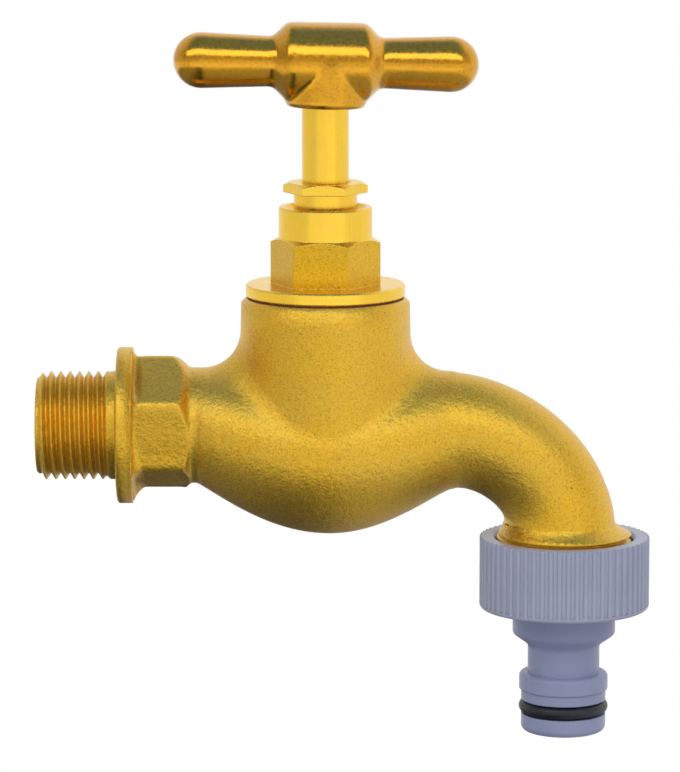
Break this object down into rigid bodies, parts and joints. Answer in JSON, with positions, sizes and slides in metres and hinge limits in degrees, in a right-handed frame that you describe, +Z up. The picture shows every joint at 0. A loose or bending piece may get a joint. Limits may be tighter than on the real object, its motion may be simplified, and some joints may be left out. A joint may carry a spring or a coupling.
{
  "type": "garden tap",
  "caption": "Brass garden tap with a threaded inlet, T-handle screw-down valve, bent spout and a ribbed plastic push-on hose connector.",
  "frame": {"origin": "centre of the inlet collar's seating face, on the inlet axis", "axes": "+X along the inlet towards the spout, +Z up along the spindle, +Y to the back"},
  "size_m": [0.1188, 0.036, 0.1387],
  "materials": {
    "cast_brass": "rough tumbled casting",
    "machined_brass": "bright turned",
    "handle_brass": "smooth bronze-toned casting",
    "fibre": "vulcanised fibre sheet",
    "packing": "greased graphite yarn",
    "steel": "plain",
    "rubber": "black moulded",
    "grey_plastic": "semi-gloss bluish grey moulding"
  },
  "bodies": {
    "tap": {"tap_body": "cast_brass", "bonnet": "machined_brass", "bonnet_gasket": "fibre", "gland_nut": "machined_brass", "packing_follower": "machined_brass", "gland_packing": "packing"},
    "valve": {"valve_jumper": "machined_brass", "jumper_snap_ring": "steel", "seat_washer": "rubber", "washer_nut": "machined_brass"},
    "spindle": {"spindle": "machined_brass", "tee_handle": "handle_brass", "handle_grub_screw": "steel"},
    "outlet_seal": {"outlet_washer": "rubber"},
    "connector": {"hose_connector": "grey_plastic", "connector_o_ring": "rubber"}
  },
  "joints": [
    {"name": "valve_lift", "type": "slide", "parent": "tap", "child": "valve", "axis": [0, 0, 1], "range_m": [0, 0.00625]},
    {"name": "handle_turn", "type": "hinge", "parent": "valve", "child": "spindle", "pos_m": [0.0402, 0, 0.03], "axis": [0, 0, 1], "range_deg": [0, 900.5]},
    {"name": "connector_drop", "type": "slide", "parent": "tap", "child": "outlet_seal", "axis": [0, 0, 1], "range_m": [-0.01088, 0]},
    {"name": "connector_turn", "type": "hinge", "parent": "outlet_seal", "child": "connector", "pos_m": [0.0867, 0, -0.03], "axis": [0, 0, 1], "range_deg": [-2160.5, 0]}
  ],
  "couplings": [
    {"joint": "handle_turn", "follows": "valve_lift", "rad_per_m": 2513.3},
    {"joint": "connector_turn", "follows": "connector_drop", "rad_per_m": 3463.7}
  ]
}
